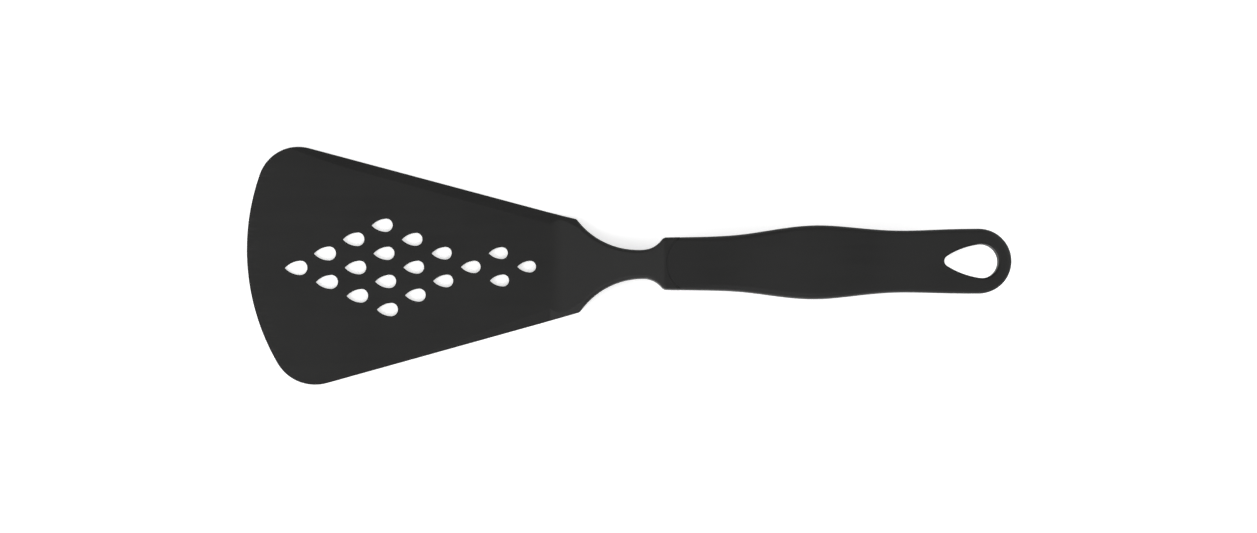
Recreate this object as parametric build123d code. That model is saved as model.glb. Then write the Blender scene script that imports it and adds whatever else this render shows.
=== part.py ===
from build123d import *
import math
import os

# Perforated grill spatula (turner), moulded in black glass-filled nylon.
# Millimetres. X runs from the blade's leading edge to the handle's tail, Y across and Z up,
# with the underside of the flat blade on Z = 0. Shapes are drawn with X = 0 at the leading edge,
# and the written parts are moved so that the origin lies under the blade at DATUM_X.

# ---- overall ----
OVERALL_LENGTH = 305.0
DATUM_X = 56.0
REACH = 80.0  # half-width and height of the tool solids, larger than the object
LEAD_IN = -1.0  # tool solids and side outlines start this far ahead of the object, or below it
NEAR = 0.1  # tolerance when an edge or a corner is chosen by its place
STEEPEST_SLOPE = 60.0  # a face that slopes less than this lies on the upper side or the underside
SHORTEST_RUN = 0.3  # edges that reach less far than this along X run across the object or upright
MIDDLE_BAND = 1.0  # edges whose middle is nearer to the axis than this run across the object too

# ---- fan-shaped blade, seen from above ----
LEADING_RADIUS = 91.3  # the bowed leading edge
LEADING_CENTRE = (91.3, 7.7)  # its centre stands off the axis, so the edge is raked
CORNER_RADII = (16.5, 17.6)  # on the +Y side and the -Y side
SIDE_ANGLE = 15.3  # each side edge to the axis
SHOULDER_HALF_WIDTH = 18.75
SHOULDER_X = 133.8
SHOULDER_RADIUS = 2.0
RAKE_AT_TIP = 0.085  # x per y of the pattern's columns, and it fades to zero at RAKE_END_X
RAKE_END_X = 205.0

# ---- blade, heel bend and ramp, seen from the side ----
EDGE_THICKNESS = 0.9
WEDGE_X = 38.0  # the blade thins from here to its leading edge
WEDGE_THICKNESS = 2.1
HEEL_THICKNESS = 2.4
HEEL_X = 122.4
HEEL_BEND_RADIUS = 16.0
RAMP_ANGLE = 26.0
CREST_START_X = 167.6
CREST_RADIUS = 3.0
CREST_DROP_ANGLE = 5.0
RIM_HEIGHT = 0.55  # upright part of the blade's side edges, below their bevels
BEVEL_WIDTH = 4.8  # of the side bevels, at the heel
BEVEL_START_X = 55.0  # where the -Y bevel runs out, while the +Y one goes round the corner
RAMP_BEVEL_WIDTH = 3.4  # of the same bevels where they end at the shoulders
TOP_EDGE_ROUND = 0.2
SOLE_EDGE_ROUND = 0.2
UNDERSIDE = [(118.0, 0.0), (131.0, 1.6), (145.0, 5.6), (158.0, 9.3)]
UNDERSIDE_END_SLOPE = 0.02  # z per x, where it meets the grip

# ---- neck, seen from above ----
NECK_X = 159.8
NECK_HALF_WIDTH = 5.65
NECK_MIDDLE = (145.0, 9.05)  # a point on the flank between shoulder and neck
FLARE_CORNER_RADIUS = 2.5
BOLSTER_END_X = 173.0  # where the bolster's flank runs out beside the grip's nose
NECK_EDGE_RADIUS = 1.3
NECK_UNDER_RADIUS = 0.5

# ---- drop-shaped perforations ----
COLUMN_HOLES = (1, 2, 3, 4, 3, 2, 1, 2, 1)  # holes in each column from the tip to the heel
FIRST_COLUMN_X = 21.6  # centre of the first hole's round end
COLUMN_PITCH = 12.08
PITCH_LOSS = 0.0615  # each column's place falls short by this times its number squared
ROW_PITCH = 5.78  # half the distance between neighbours in one column
ROW_PITCH_LOSS = 0.036
HOLE_LENGTH = 9.1
HOLE_WIDTH = 5.8
HOLE_SHRINK = 0.0228  # each column's holes are smaller by this part of the first
HOLE_TIP_RADIUS = 0.25
HOLE_FLANK_ANGLE = 3.5  # where the flanks leave the round end, in degrees past its widest point
HOLE_EDGE_RADIUS = 0.3

# ---- handle ----
MOUTH_X = 169.2  # front of the grip on the axis, where it meets the blade's bolster
MOUTH_RADIUS = 12.8  # the grip's front is a nose of this radius, seen from above
# half-width along the handle, and its top and bottom seen from the side
HALF_WIDTHS = [
    (167.8, 10.25), (188.0, 10.68), (199.0, 11.35), (213.0, 13.25), (228.5, 14.5),
    (244.0, 13.3), (259.0, 12.15), (276.0, 12.5),
]
MOUTH_SPREAD = 0.03  # y per x, of the grip's sides where they leave the mouth
TAIL_RADIUS = 12.8
TOP_LINE = [
    (182.0, 21.7), (193.0, 22.0), (215.0, 25.3), (237.0, 28.8),
    (252.0, 29.9), (268.0, 28.9), (285.0, 28.5),
]
BOTTOM_LINE = [
    (168.4, 10.6), (185.0, 10.9), (205.0, 12.9), (225.0, 15.3),
    (245.0, 17.6), (275.0, 19.9),
]
TAIL_TOP_Z = 28.2
TAIL_BOTTOM_Z = 20.2
TAIL_SLOPE = -0.01
TOP_EDGE_RADIUS = 2.2
BOTTOM_EDGE_RADIUS = 3.2
WALL = 2.2
SHUT_LINE = 0.1  # gap between the blade's bolster and the handle
SEAM_WIDTH = 0.4
SEAM_DEPTH = 0.35
LIP_WIDTH = 0.7
LIP_HEIGHT = 1.0  # tongue of the lower shell that registers in the upper one
LIP_CLEARANCE = 0.05

# ---- hang hole ----
HANG_APEX_X = 278.4
HANG_END_X = 299.9
HANG_WIDTH = 13.5
HANG_TIP_RADIUS = 2.3
HANG_FLANK_ANGLE = 8.5
HANG_EDGE_RADII = (1.0, 1.5)  # rounding of its rim above and below

# ---- tang and its dowels ----
TANG_END_X = 226.0
TANG_ROOT_HALF_WIDTH = 6.6
TANG_END_HALF_WIDTH = 5.0
TANG_HALF_THICKNESS = 2.6
TANG_ROOT_X = 167.0
DOWEL_XS = (184.0, 212.0)
DOWEL_RADIUS = 2.0
DOWEL_HALF_LENGTH = 4.2
BOSS_RADIUS = 4.2
RIB_XS = (174.0, 198.0, 222.0)
RIB_THICKNESS = 1.6
TANG_CLEARANCE = 0.1


def rake(x):
    """The lean of a cross line of the blade at x, as x per y."""
    return RAKE_AT_TIP * (1 - x / RAKE_END_X)


def mirrored(points):
    """The same points on the -Y side, in reverse order."""
    return [(x, -y) for x, y in reversed(points)]


def prism(sketch):
    """An upright solid over a sketch drawn from above, taller than the object."""
    return extrude(Pos(0, 0, LEAD_IN) * sketch, amount=REACH - LEAD_IN, dir=(0, 0, 1))


def side_solid(edges, half_width=REACH):
    """A solid across the object from an outline drawn from the side."""
    return extrude(Plane.XZ.offset(-half_width) * make_face(edges), amount=2 * half_width)


def drop(length, width, tip_radius, flank_angle):
    """A drop with its round end's centre at the origin and its tip toward -X.

    Each bowed flank is one arc, tangent to the round end and to the small round tip.
    """
    radius = width / 2
    tip_x = radius + tip_radius - length  # centre of the round tip
    lean = math.radians(flank_angle)
    step = radius - tip_radius
    gap = (tip_x**2 - step**2) / (2 * (step + tip_x * math.sin(lean)))  # origin to a flank's centre
    centre_x, centre_y = gap * math.sin(lean), -gap * math.cos(lean)
    start = math.pi / 2 + lean
    end = math.atan2(-centre_y, tip_x - centre_x)
    shoulder, middle, tip = [
        (centre_x + (gap + radius) * math.cos(a), centre_y + (gap + radius) * math.sin(a))
        for a in (start, (start + end) / 2, end)
    ]
    (low_tip,), (low_middle,), (low_shoulder,) = mirrored([tip]), mirrored([middle]), mirrored([shoulder])
    edges = [
        ThreePointArc(tip, middle, shoulder),
        ThreePointArc(shoulder, (radius, 0), low_shoulder),
        ThreePointArc(low_tip, low_middle, low_shoulder),
        ThreePointArc(tip, (tip_x - tip_radius, 0), low_tip),
    ]
    return make_face(edges)


# ---------------------------------------------------------------- plan outlines
def half_width(x):
    """Half the blade's width between its straight side edges."""
    return SHOULDER_HALF_WIDTH + (SHOULDER_X - x) * math.tan(math.radians(SIDE_ANGLE))


def fan_outline():
    """The blade's fan from the bowed leading edge to the heel."""
    sides = [(x, half_width(x)) for x in (HEEL_X, -LEADING_RADIUS / 3)]
    fan = make_face(Polyline(*sides, *mirrored(sides), close=True))
    fan &= Pos(*LEADING_CENTRE) * Circle(LEADING_RADIUS)
    for side, radius in zip((1, -1), CORNER_RADII):
        corner = [v for v in fan.vertices() if v.X < HEEL_X / 2 and v.Y * side > LEADING_RADIUS / 4]
        fan = fillet(corner, radius)
    return fan


def neck_outline():
    """From the heel, by the shoulders, the waist and the flare, into the sides of the grip."""
    middle_x, middle_y = NECK_MIDDLE
    flare_x, flare_y = HALF_WIDTHS[0]
    edges = []
    for side in (1, -1):
        shoulder_x = SHOULDER_X - rake(SHOULDER_X) * side * SHOULDER_HALF_WIDTH
        shoulder = (shoulder_x, side * half_width(shoulder_x))
        flank = (middle_x - rake(middle_x) * side * middle_y, side * middle_y)
        waist = (NECK_X, side * NECK_HALF_WIDTH)
        edges += [
            Line((HEEL_X, side * half_width(HEEL_X)), shoulder),
            ThreePointArc(shoulder, flank, waist),
            TangentArc(waist, (flare_x, side * flare_y), tangent=(1, 0)),
        ]
    edges.append(Line((HEEL_X, half_width(HEEL_X)), (HEEL_X, -half_width(HEEL_X))))
    edges.append(Line((flare_x, flare_y), (flare_x, -flare_y)))
    outline = make_face(edges)
    shoulders = [v for v in outline.vertices() if HEEL_X + NEAR < v.X < NECK_X - NEAR]
    outline = fillet(shoulders, SHOULDER_RADIUS) + handle_outline()
    flares = [v for v in outline.vertices() if abs(v.X - flare_x) < NEAR]
    return fillet(flares, FLARE_CORNER_RADIUS)


def nose(inset=0.0):
    """Seen from above, all that lies behind the grip's rounded front."""
    centre_x = MOUTH_X + MOUTH_RADIUS
    rest = Pos(centre_x + OVERALL_LENGTH / 2, 0) * Rectangle(OVERALL_LENGTH, 2 * REACH)
    return Pos(centre_x, 0) * Circle(MOUTH_RADIUS - inset) + rest


def handle_outline(inset=0.0):
    """The handle seen from above, from the mouth to the round tail."""
    tail_x = OVERALL_LENGTH - TAIL_RADIUS
    (mouth_x, mouth_y), *stations = HALF_WIDTHS
    flank = [(mouth_x + inset, mouth_y - inset)]
    flank += [(x, y - inset) for x, y in stations + [(tail_x, TAIL_RADIUS)]]
    upper = Spline(flank, tangents=[(1, MOUTH_SPREAD), (1, 0)])
    lower = Spline(mirrored(flank), tangents=[(-1, 0), (-1, MOUTH_SPREAD)])
    end = ThreePointArc(flank[-1], (OVERALL_LENGTH - inset, 0), (tail_x, inset - TAIL_RADIUS))
    mouth = Line(lower @ 1, upper @ 0)
    return make_face([upper, end, lower, mouth])


def grip_outline(inset=0.0):
    """The grip seen from above, with its rounded front."""
    return handle_outline(inset) & nose(inset)


def hang_hole(grow=0.0):
    """The drop-shaped hang hole, its tip toward the blade."""
    length = HANG_END_X - HANG_APEX_X + 2 * grow
    hole = drop(length, HANG_WIDTH + 2 * grow, HANG_TIP_RADIUS + grow, HANG_FLANK_ANGLE)
    return Pos(HANG_END_X - HANG_WIDTH / 2, 0) * hole


# ---------------------------------------------------------------- side outlines
def blade_top():
    """Top line of blade, heel bend, ramp and crest."""
    wedge_slope = (WEDGE_THICKNESS - EDGE_THICKNESS) / WEDGE_X
    wedge = Line((LEAD_IN, EDGE_THICKNESS + LEAD_IN * wedge_slope), (WEDGE_X, WEDGE_THICKNESS))
    plate = Line(wedge @ 1, (HEEL_X, HEEL_THICKNESS))
    plate_angle = math.degrees(math.atan2(HEEL_THICKNESS - WEDGE_THICKNESS, HEEL_X - WEDGE_X))
    bend = JernArc(plate @ 1, plate % 1, HEEL_BEND_RADIUS, RAMP_ANGLE - plate_angle)
    bend_end = bend @ 1
    rise = (CREST_START_X - bend_end.X) * math.tan(math.radians(RAMP_ANGLE))
    ramp = Line(bend_end, (CREST_START_X, bend_end.Y + rise))
    crest = JernArc(ramp @ 1, ramp % 1, CREST_RADIUS, -(RAMP_ANGLE + CREST_DROP_ANGLE))
    return [wedge, plate, bend, ramp, crest]


def blade_side():
    """Blade and grip seen from the side, as one solid across the object."""
    top = blade_top() + [top_spline()]
    under = Spline(UNDERSIDE + [BOTTOM_LINE[0]], tangents=[(1, 0), (1, UNDERSIDE_END_SLOPE)])
    sole = Line((LEAD_IN, 0), UNDERSIDE[0])
    closing = [Line(top[0] @ 0, sole @ 0), Line(top[-1] @ 1, bottom_spline() @ 1)]
    return side_solid(top + [sole, under, bottom_spline()] + closing)


def top_spline():
    """The grip's top line, which carries on from the crest."""
    start = blade_top()[-1] @ 1
    drop_slope = -math.tan(math.radians(CREST_DROP_ANGLE))
    points = [(start.X, start.Y)] + TOP_LINE + [(OVERALL_LENGTH, TAIL_TOP_Z)]
    return Spline(points, tangents=[(1, drop_slope), (1, TAIL_SLOPE)])


def bottom_spline():
    """The grip's bottom line."""
    points = BOTTOM_LINE + [(OVERALL_LENGTH, TAIL_BOTTOM_Z)]
    return Spline(points, tangents=[(1, 0), (1, TAIL_SLOPE)])


def middle_points(lift=0.0, count=9):
    """Points halfway between the handle's top and bottom lines, from the mouth to the tail."""
    top, bottom = top_spline(), bottom_spline()
    stations = [i / (count - 1) for i in range(count)]
    return [((bottom @ t).X, ((top @ t).Y + (bottom @ t).Y) / 2 + lift) for t in stations]


def band(low, high):
    """A solid across the handle between two lifts from its middle line."""
    lower = Spline(middle_points(low))
    upper = Spline(middle_points(high))
    return side_solid([lower, upper, Line(lower @ 0, upper @ 0), Line(lower @ 1, upper @ 1)])


def handle_side(inset=0.0):
    """The grip seen from the side, as a solid across the object."""
    top = Pos(0, -inset) * top_spline()
    bottom = Pos(0, inset) * bottom_spline()
    ends = [Line(top @ 0, bottom @ 0), Line(top @ 1, bottom @ 1)]
    return side_solid([top, bottom] + ends)


# ---------------------------------------------------------------- blade
def perforations():
    """The drop-shaped holes seen from above."""
    holes = []
    for column, count in enumerate(COLUMN_HOLES):
        size = 1 - HOLE_SHRINK * column
        length = HOLE_LENGTH * size
        width = HOLE_WIDTH * size
        x = FIRST_COLUMN_X + COLUMN_PITCH * column - PITCH_LOSS * column**2
        row_pitch = ROW_PITCH - ROW_PITCH_LOSS * column
        shape = drop(length, width, HOLE_TIP_RADIUS, HOLE_FLANK_ANGLE)
        for row in range(count):
            y = (2 * row - count + 1) * row_pitch
            holes.append(Pos(x - rake(x) * y, y) * shape)
    return holes


def tang(grow=0.0):
    """The tongue that runs into the handle along its middle line."""
    side = [(TANG_ROOT_X, TANG_ROOT_HALF_WIDTH + grow), (TANG_END_X + grow, TANG_END_HALF_WIDTH + grow)]
    plan = make_face(Polyline(*side, *mirrored(side), close=True))
    thick = TANG_HALF_THICKNESS + grow
    slab = prism(plan) & band(-thick, thick)
    start_x, start_z = middle_points()[0]
    root = Box(2 * (start_x - TANG_ROOT_X), 2 * (TANG_ROOT_HALF_WIDTH + grow), 2 * thick)
    return slab + Pos(start_x, 0, start_z) * root


def run(edge):
    """How far an edge reaches along X."""
    return edge.bounding_box().size.X


def long_edges(solid, up):
    """The edges that run along a solid's upper side (up is 1) or its underside (up is -1)."""
    steepest = math.cos(math.radians(STEEPEST_SLOPE))
    chosen = []
    for face in solid.faces():
        if face.normal_at(face.center()).Z * up > steepest:
            chosen += face.edges()
    return [edge for edge in chosen if run(edge) > SHORTEST_RUN and abs(edge.center().Y) > MIDDLE_BAND]


def beyond_plane(first, second, third, up=1):
    """All that lies above (up is 1) or below (up is -1) the plane through three points."""
    first, second, third = Vector(first), Vector(second), Vector(third)
    normal = (second - first).cross(third - first)
    if normal.Z * up < 0:
        normal = -normal
    plane = Plane(origin=first, x_dir=second - first, z_dir=normal)
    size = 4 * REACH
    return plane * Pos(0, 0, size / 2) * Box(size, size, size)


def bevels(side):
    """What the blade's bevel and the ramp's bevel take off one side."""
    heel_y = half_width(HEEL_X)
    outer = (HEEL_X, side * heel_y, RIM_HEIGHT)
    inner = (HEEL_X, side * (heel_y - BEVEL_WIDTH), HEEL_THICKNESS)
    bend_end = blade_top()[2] @ 1
    shoulder_z = bend_end.Y + (SHOULDER_X - bend_end.X) * math.tan(math.radians(RAMP_ANGLE))
    run_out = (SHOULDER_X, side * (SHOULDER_HALF_WIDTH - RAMP_BEVEL_WIDTH), shoulder_z)
    start_height = RIM_HEIGHT if side > 0 else plate_top(BEVEL_START_X)
    start = (BEVEL_START_X, side * half_width(BEVEL_START_X), start_height)
    neck_start = NECK_MIDDLE[0]
    before_neck = Pos(neck_start - REACH, 0, 0) * Box(2 * REACH, 2 * REACH, 2 * REACH)
    return beyond_plane(outer, inner, start), beyond_plane(outer, inner, run_out) & before_neck


def bolster_bevel(side):
    """What comes off the bolster's lower corner, so that it meets the grip's rounded edge."""
    mouth_y = HALF_WIDTHS[0][1]
    mouth_z = BOTTOM_LINE[0][1]
    leg = BOTTOM_EDGE_RADIUS * (2 - math.sqrt(2))
    start = (NECK_X, side * NECK_HALF_WIDTH, UNDERSIDE[-1][1])
    flank = (BOLSTER_END_X, side * mouth_y, mouth_z + leg)
    under = (BOLSTER_END_X, side * (mouth_y - leg), mouth_z)
    behind_waist = Pos(NECK_X + REACH, 0, 0) * Box(2 * REACH, 2 * REACH, 2 * REACH)
    return beyond_plane(start, flank, under, up=-1) & behind_waist


def plate_top(x):
    """Thickness of the blade between the wedge and the heel."""
    along = (x - WEDGE_X) / (HEEL_X - WEDGE_X)
    return WEDGE_THICKNESS + (HEEL_THICKNESS - WEDGE_THICKNESS) * along


def rim_edges(plate, up):
    """The edges between the blade's upright rim and its face (up is 1) or its sole (up is -1)."""
    walls = [face for face in plate.faces() if abs(face.normal_at(face.center()).Z) < NEAR]
    around = [edge for wall in walls for edge in wall.edges() if run(edge) > SHORTEST_RUN]
    return [edge for edge in around if (edge.center().Z > RIM_HEIGHT / 2) == (up > 0)]


def make_plate():
    """The flat blade to the heel, with its bevels, its rounded edges and its perforations."""
    plate = prism(fan_outline()) & blade_side()
    plate = fillet(rim_edges(plate, -1), SOLE_EDGE_ROUND)
    for side in (1, -1):
        plate -= bevels(side)[0]
    plate = fillet(rim_edges(plate, 1), TOP_EDGE_ROUND)
    for hole in perforations():
        plate -= prism(hole)
    return fillet(hole_edges(plate), HOLE_EDGE_RADIUS)


def hole_edges(plate):
    """The edges of the perforations, above and below."""
    chosen = []
    for edge in plate.edges():
        middle = edge.center()
        short = edge.length < 2 * HOLE_LENGTH and run(edge) > NEAR / 2
        flat = edge.bounding_box().size.Z < edge.length / 2
        inside = abs(middle.Y) < half_width(middle.X) - HOLE_LENGTH
        if short and flat and inside:
            chosen.append(edge)
    return chosen


def make_blade():
    """Blade, neck, bolster and tang, moulded in one."""
    neck = prism(neck_outline()) & blade_side()
    neck = fillet(long_edges(neck, 1), NECK_EDGE_RADIUS)
    neck = fillet(long_edges(neck, -1), NECK_UNDER_RADIUS)
    neck -= prism(nose(-SHUT_LINE))
    for side in (1, -1):
        neck -= bevels(side)[1]
        neck -= bolster_bevel(side)
    blade = make_plate() + neck + tang()
    for pin in dowels():
        blade -= pin
    return blade


# ---------------------------------------------------------------- handle
def middle_z(x):
    """Height of the handle's middle line at x."""
    points = middle_points()
    for (x0, z0), (x1, z1) in zip(points, points[1:]):
        if x0 <= x <= x1:
            return z0 + (z1 - z0) * (x - x0) / (x1 - x0)
    return points[-1][1]


def posts(radius, half_height):
    """Upright cylinders on the dowels' axes, centred on the middle line."""
    return [Pos(x, 0, middle_z(x)) * Cylinder(radius, 2 * half_height) for x in DOWEL_XS]


def dowels():
    """The pins that lock the tang in the handle."""
    return posts(DOWEL_RADIUS, DOWEL_HALF_LENGTH)


def handle_outer():
    """The whole grip with its rounded edges, hang hole and seam groove."""
    body = prism(handle_outline()) & handle_side()
    body = fillet(long_edges(body, 1), TOP_EDGE_RADIUS)
    body = fillet(long_edges(body, -1), BOTTOM_EDGE_RADIUS)
    body -= prism(hang_hole())
    for above, radius in zip((True, False), HANG_EDGE_RADII):
        rim = [e for e in body.edges() if hole_rim(e) and (e.center().Z > middle_z(e.center().X)) == above]
        body = fillet(rim, radius)
    groove = band(-SEAM_WIDTH / 2, SEAM_WIDTH / 2) - prism(handle_outline(SEAM_DEPTH))
    return (body - groove) & prism(nose())


def hole_rim(edge):
    """Whether an edge bounds the hang hole's mouth above or below."""
    box = edge.bounding_box()
    flat = box.size.Z < edge.length / 2
    within_y = max(abs(box.min.Y), abs(box.max.Y)) < HANG_WIDTH / 2 + NEAR
    within_x = HANG_APEX_X - NEAR < box.min.X and box.max.X < HANG_END_X + NEAR
    return flat and within_x and within_y


def handle_cavity():
    """The hollow inside, with walls, a wall round the hang hole, bosses and ribs left standing."""
    cavity = prism(grip_outline(WALL)) & handle_side(WALL)
    cavity -= prism(hang_hole(WALL))
    for boss in posts(BOSS_RADIUS, REACH):
        cavity -= boss
    for x in RIB_XS:
        cavity -= Pos(x, 0, 0) * Box(RIB_THICKNESS, 2 * REACH, 2 * REACH)
    return cavity


def tongue(clearance=0.0):
    """The rib along the lower shell's joint that stands in the upper shell's groove."""
    half_lip = LIP_WIDTH / 2 + clearance
    ring = grip_outline(WALL / 2 - half_lip) - grip_outline(WALL / 2 + half_lip)
    return prism(ring) & band(0, LIP_HEIGHT + clearance)


def make_handle():
    """The grip's upper and lower shells, parted along the middle line."""
    shell = handle_outer() - handle_cavity() - tang(TANG_CLEARANCE)
    for pin in dowels():
        shell -= pin
    upper = (shell & band(0, REACH)) - tongue(LIP_CLEARANCE)
    lower = (shell & band(-REACH, 0)) + (tongue() - tang(TANG_CLEARANCE))
    return upper, lower


if __name__ == "__main__":
    os.makedirs("parts", exist_ok=True)
    upper_shell, lower_shell = make_handle()
    nodes = {
        "blade": [make_blade()],
        "handle_top_shell": [upper_shell],
        "handle_bottom_shell": [lower_shell],
        "tang_dowels": dowels(),
    }
    for name, shapes in nodes.items():
        moved = [Pos(-DATUM_X, 0, 0) * shape for shape in shapes]
        export_step(Compound(moved) if len(moved) > 1 else moved[0], f"parts/{name}.step")
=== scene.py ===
import bpy
from mathutils import Matrix, Vector


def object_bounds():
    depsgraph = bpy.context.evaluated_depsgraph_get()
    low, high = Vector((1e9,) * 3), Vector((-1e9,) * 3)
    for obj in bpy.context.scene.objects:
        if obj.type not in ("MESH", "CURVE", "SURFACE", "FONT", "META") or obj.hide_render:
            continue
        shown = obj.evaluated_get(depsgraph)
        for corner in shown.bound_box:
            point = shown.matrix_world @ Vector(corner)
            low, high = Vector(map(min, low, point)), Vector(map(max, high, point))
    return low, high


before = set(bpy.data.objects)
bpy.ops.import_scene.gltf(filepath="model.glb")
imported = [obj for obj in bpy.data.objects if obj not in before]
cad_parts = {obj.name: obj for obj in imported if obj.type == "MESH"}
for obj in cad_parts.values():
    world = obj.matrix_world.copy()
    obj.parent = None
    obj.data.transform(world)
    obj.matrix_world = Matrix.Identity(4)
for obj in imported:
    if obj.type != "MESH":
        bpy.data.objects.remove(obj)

CAD_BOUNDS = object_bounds()
LOW, HIGH = CAD_BOUNDS
MIDDLE = (LOW + HIGH) / 2

# ---- camera: almost straight down on the blade, tipped a little toward -Y ----
CAMERA_DISTANCE = 1.1
CAMERA_LENS = 78.89  # mm
SENSOR_WIDTH = 36.0  # mm
CAMERA_TIP = 0.052  # slope of the line of sight toward -Y
CAMERA_ROLL = -0.00519  # radians
# x from the middle of the object's box, then y and height in the frame
CAMERA_AIM = (0.0015, -0.0007, 0.012)

# ---- light and floor ----
WORLD_STRENGTH = 0.36
KEY_PLACE = (-0.85, -0.5, 0.9)
KEY_POWER = 16.0
FILL_PLACE = (1.05, 0.35, 0.95)
FILL_POWER = 9.5
SIDE_PLACE = (0.25, -0.95, 0.95)
SIDE_POWER = 3.5
LIGHT_SIZE = (1.3, 1.3)
FLOOR_HALF_SIZE = 4.0
FLOOR_GLOW = 0.42
FLOOR_DROP = 0.0003  # below the sole, so that the two faces never coincide

# ---- nylon ----
BLADE_TONE = (0.0118, 0.0118, 0.0115)
BLADE_ROUGHNESS = 0.55
HANDLE_TONE = (0.0118, 0.0118, 0.0116)
HANDLE_ROUGHNESS = 0.56
NYLON_SPECULAR = 0.2
NOISE_SPAN = (0.3, 0.7)  # most of a noise texture's values lie between these
GRAIN_SCALE = 2400.0
GRAIN_HEIGHT = 0.00002
GRAIN_STRENGTH = 0.5
PATCH_SCALE = 40.0
STREAK_SCALES = (18.0, 330.0, 330.0)  # long in the direction of flow
PATCH_SWING = (0.08, 0.04)  # how far the patches change brightness and roughness
STREAK_SWING = (0.06, 0.03)  # the same for the streaks

# ---- worn leading edge ----
LEADING_RADIUS = 0.0913  # the blade's bowed edge, whose centre stands this far behind its tip
LEADING_CENTRE_Y = 0.0077
WEAR_WIDTH = 0.006
SCUFF_SCALES = (120.0, 900.0, 120.0)
SCUFF_SPAN = (0.5, 0.68)  # noise below the first leaves no scuff, above the second a full one
WORN_BRIGHTNESS = 0.6
WORN_ROUGHNESS = 0.12

# ---- steel ----
STEEL_TONE = (0.5, 0.5, 0.51)
RING_SCALES = (300.0, 300.0, 9000.0)  # grinding marks run round the upright dowels
RING_BRIGHTNESS = (0.9, 1.1)
RING_ROUGHNESS = (0.22, 0.36)
RING_HEIGHT = 0.00001
RING_STRENGTH = 0.4


# ---------------------------------------------------------------- studio
def add_camera():
    """A camera that looks down on the blade, with the handle to the right."""
    aim = Vector((MIDDLE.x + CAMERA_AIM[0], CAMERA_AIM[1], CAMERA_AIM[2]))
    back = Vector((0.0, -CAMERA_TIP, 1.0)).normalized()
    right = Vector((0.0, 1.0, 0.0)).cross(back).normalized()
    up = back.cross(right)
    turn = Matrix.Rotation(CAMERA_ROLL, 3, back)
    camera = bpy.data.objects.new("camera", bpy.data.cameras.new("camera"))
    camera.data.lens = CAMERA_LENS
    camera.data.sensor_width = SENSOR_WIDTH
    place = Matrix((turn @ right, turn @ up, back)).transposed().to_4x4()
    place.translation = aim + back * CAMERA_DISTANCE
    camera.matrix_world = place
    bpy.context.scene.collection.objects.link(camera)
    bpy.context.scene.camera = camera


def add_area_light(name, place, power):
    """A square soft light turned toward the middle of the object."""
    light = bpy.data.lights.new(name, "AREA")
    light.shape = "RECTANGLE"
    light.size, light.size_y = LIGHT_SIZE
    light.energy = power
    lamp = bpy.data.objects.new(name, light)
    lamp.location = place
    lamp.rotation_mode = "QUATERNION"
    lamp.rotation_quaternion = (MIDDLE - Vector(place)).to_track_quat("-Z", "Y")
    bpy.context.scene.collection.objects.link(lamp)


def add_world():
    """An even white background light, shown without a film curve."""
    world = bpy.data.worlds.new("studio")
    world.use_nodes = True
    world.node_tree.nodes["Background"].inputs["Color"].default_value = (1, 1, 1, 1)
    world.node_tree.nodes["Background"].inputs["Strength"].default_value = WORLD_STRENGTH
    bpy.context.scene.world = world
    bpy.context.scene.view_settings.view_transform = "Standard"


def add_floor():
    """A pale matt floor with a faint glow, so that it stays white under the object's shadow."""
    mesh = bpy.data.meshes.new("floor")
    corners = ((-1, -1), (1, -1), (1, 1), (-1, 1))
    mesh.from_pydata([(x * FLOOR_HALF_SIZE, y * FLOOR_HALF_SIZE, 0) for x, y in corners], [], [(0, 1, 2, 3)])
    floor = bpy.data.objects.new("floor", mesh)
    floor.location.z = LOW.z - FLOOR_DROP
    bpy.context.scene.collection.objects.link(floor)
    material, tree, shader = new_material("floor")
    shader.inputs["Base Color"].default_value = (0.93, 0.93, 0.93, 1)
    shader.inputs["Roughness"].default_value = 0.9
    shader.inputs["Specular IOR Level"].default_value = 0.0
    shader.inputs["Emission Color"].default_value = (1, 1, 1, 1)
    shader.inputs["Emission Strength"].default_value = FLOOR_GLOW
    mesh.materials.append(material)


# ---------------------------------------------------------------- shader helpers
def new_material(name):
    material = bpy.data.materials.new(name)
    material.use_nodes = True
    return material, material.node_tree, material.node_tree.nodes["Principled BSDF"]


def frame_coords(tree):
    """Places on the object in metres."""
    return tree.nodes.new("ShaderNodeTexCoord").outputs["Object"]


def stretched(tree, coords, scale):
    """Coordinates multiplied by a scale for each axis."""
    mapping = tree.nodes.new("ShaderNodeMapping")
    mapping.inputs["Scale"].default_value = scale
    tree.links.new(coords, mapping.inputs["Vector"])
    return mapping.outputs["Vector"]


def noise(tree, coords, scale, detail=3.0, roughness=0.5):
    texture = tree.nodes.new("ShaderNodeTexNoise")
    texture.inputs["Scale"].default_value = scale
    texture.inputs["Detail"].default_value = detail
    texture.inputs["Roughness"].default_value = roughness
    tree.links.new(coords, texture.inputs["Vector"])
    return texture.outputs["Fac"]


def spread(middle, swing):
    """The range that reaches the same distance to both sides of a middle value."""
    return middle - swing, middle + swing


def remap(tree, value, source, target):
    """A value's place in the source range, carried over to the target range."""
    mapped = tree.nodes.new("ShaderNodeMapRange")
    for name, number in zip(("From Min", "From Max", "To Min", "To Max"), (*source, *target)):
        mapped.inputs[name].default_value = number
    tree.links.new(value, mapped.inputs["Value"])
    return mapped.outputs["Result"]


def calculate(tree, operation, first, second):
    step = tree.nodes.new("ShaderNodeMath")
    step.operation = operation
    for socket, value in zip(step.inputs, (first, second)):
        if isinstance(value, (int, float)):
            socket.default_value = value
        else:
            tree.links.new(value, socket)
    return step.outputs["Value"]


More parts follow.
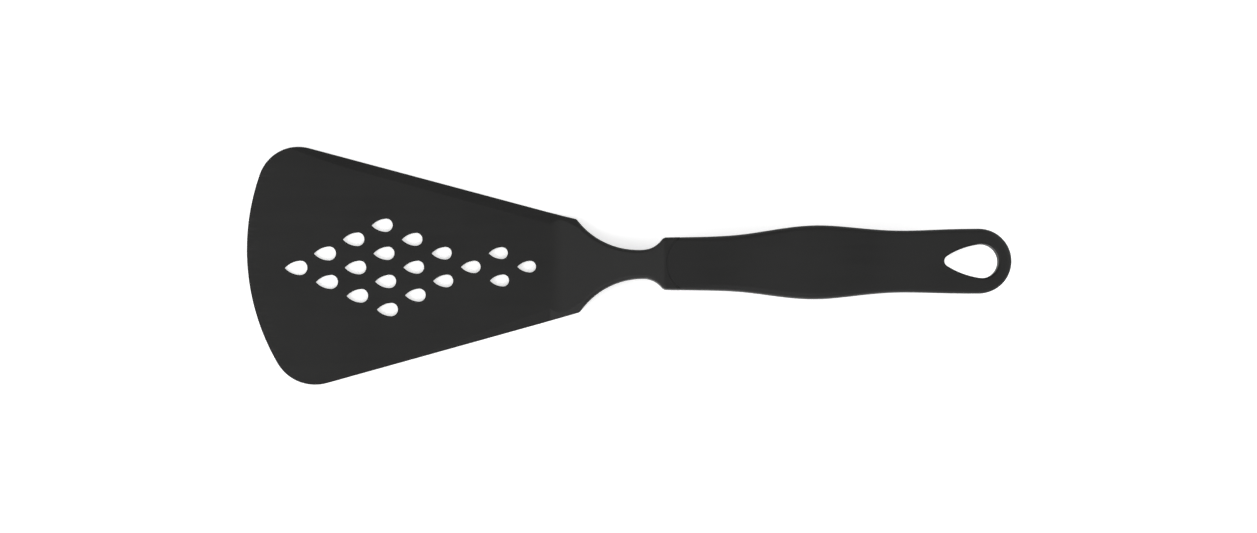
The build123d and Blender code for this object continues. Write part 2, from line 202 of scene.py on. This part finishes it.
def shade(tree, brightness, tone):
    """A colour times a brightness."""
    colour = tree.nodes.new("ShaderNodeVectorMath")
    colour.operation = "SCALE"
    colour.inputs[0].default_value = tone
    tree.links.new(brightness, colour.inputs["Scale"])
    return colour.outputs["Vector"]


def bump(tree, height, distance, strength):
    node = tree.nodes.new("ShaderNodeBump")
    node.inputs["Distance"].default_value = distance
    node.inputs["Strength"].default_value = strength
    tree.links.new(height, node.inputs["Height"])
    return node.outputs["Normal"]


# ---------------------------------------------------------------- materials
def nylon(name, tone, roughness, wear=None):
    """Black glass-filled nylon off a spark-eroded mould: fine grain, flow streaks, dull patches."""
    material, tree, shader = new_material(name)
    coords = frame_coords(tree)
    grain = noise(tree, coords, GRAIN_SCALE, roughness=0.6)
    patches = noise(tree, coords, PATCH_SCALE)
    streaks = noise(tree, stretched(tree, coords, STREAK_SCALES), 1.0)
    varied = []
    for total, patch_swing, streak_swing in zip((1.0, roughness), PATCH_SWING, STREAK_SWING):
        patchy = remap(tree, patches, NOISE_SPAN, spread(total, patch_swing))
        streaky = remap(tree, streaks, NOISE_SPAN, spread(0.0, streak_swing))
        varied.append(calculate(tree, "ADD", patchy, streaky))
    brightness, dullness = varied
    if wear is not None:
        worn = wear(tree, coords)
        brightness = calculate(tree, "ADD", brightness, calculate(tree, "MULTIPLY", worn, WORN_BRIGHTNESS))
        dullness = calculate(tree, "ADD", dullness, calculate(tree, "MULTIPLY", worn, WORN_ROUGHNESS))
    tree.links.new(shade(tree, brightness, tone), shader.inputs["Base Color"])
    tree.links.new(dullness, shader.inputs["Roughness"])
    tree.links.new(bump(tree, grain, GRAIN_HEIGHT, GRAIN_STRENGTH), shader.inputs["Normal"])
    shader.inputs["Specular IOR Level"].default_value = NYLON_SPECULAR
    return material


def blade_wear(tree, coords):
    """1 where the leading edge has rubbed on the griddle, fading to 0 a few millimetres behind it."""
    apart = tree.nodes.new("ShaderNodeVectorMath")
    apart.operation = "MULTIPLY_ADD"
    centre = (LOW.x + LEADING_RADIUS, LEADING_CENTRE_Y)
    apart.inputs[1].default_value = (1, 1, 0)
    apart.inputs[2].default_value = (-centre[0], -centre[1], 0)
    tree.links.new(coords, apart.inputs[0])
    away = tree.nodes.new("ShaderNodeVectorMath")
    away.operation = "LENGTH"
    tree.links.new(apart.outputs["Vector"], away.inputs[0])
    near_edge = remap(tree, away.outputs["Value"], (LEADING_RADIUS - WEAR_WIDTH, LEADING_RADIUS), (0, 1))
    scuff_noise = noise(tree, stretched(tree, coords, SCUFF_SCALES), 1.0, detail=4.0)
    scuffs = remap(tree, scuff_noise, SCUFF_SPAN, (0, 1))
    return calculate(tree, "MULTIPLY", near_edge, scuffs)


def ground_steel(name):
    """Ground steel with fine rings."""
    material, tree, shader = new_material(name)
    coords = frame_coords(tree)
    rings = noise(tree, stretched(tree, coords, RING_SCALES), 1.0)
    brightness = remap(tree, rings, NOISE_SPAN, RING_BRIGHTNESS)
    tree.links.new(shade(tree, brightness, STEEL_TONE), shader.inputs["Base Color"])
    tree.links.new(remap(tree, rings, NOISE_SPAN, RING_ROUGHNESS), shader.inputs["Roughness"])
    tree.links.new(bump(tree, rings, RING_HEIGHT, RING_STRENGTH), shader.inputs["Normal"])
    shader.inputs["Metallic"].default_value = 1.0
    return material


def finish_nodes():
    """Give each of the object's nodes its material."""
    blade = nylon("black_nylon", BLADE_TONE, BLADE_ROUGHNESS, blade_wear)
    handle = nylon("grip_nylon", HANDLE_TONE, HANDLE_ROUGHNESS)
    finishes = {
        "blade": blade,
        "handle_top_shell": handle,
        "handle_bottom_shell": handle,
        "tang_dowels": ground_steel("ground_steel"),
    }
    for name, material in finishes.items():
        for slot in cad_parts[name].material_slots:
            slot.material = material


add_camera()
add_world()
add_area_light("key", KEY_PLACE, KEY_POWER)
add_area_light("fill", FILL_PLACE, FILL_POWER)
add_area_light("side", SIDE_PLACE, SIDE_POWER)
add_floor()
finish_nodes()
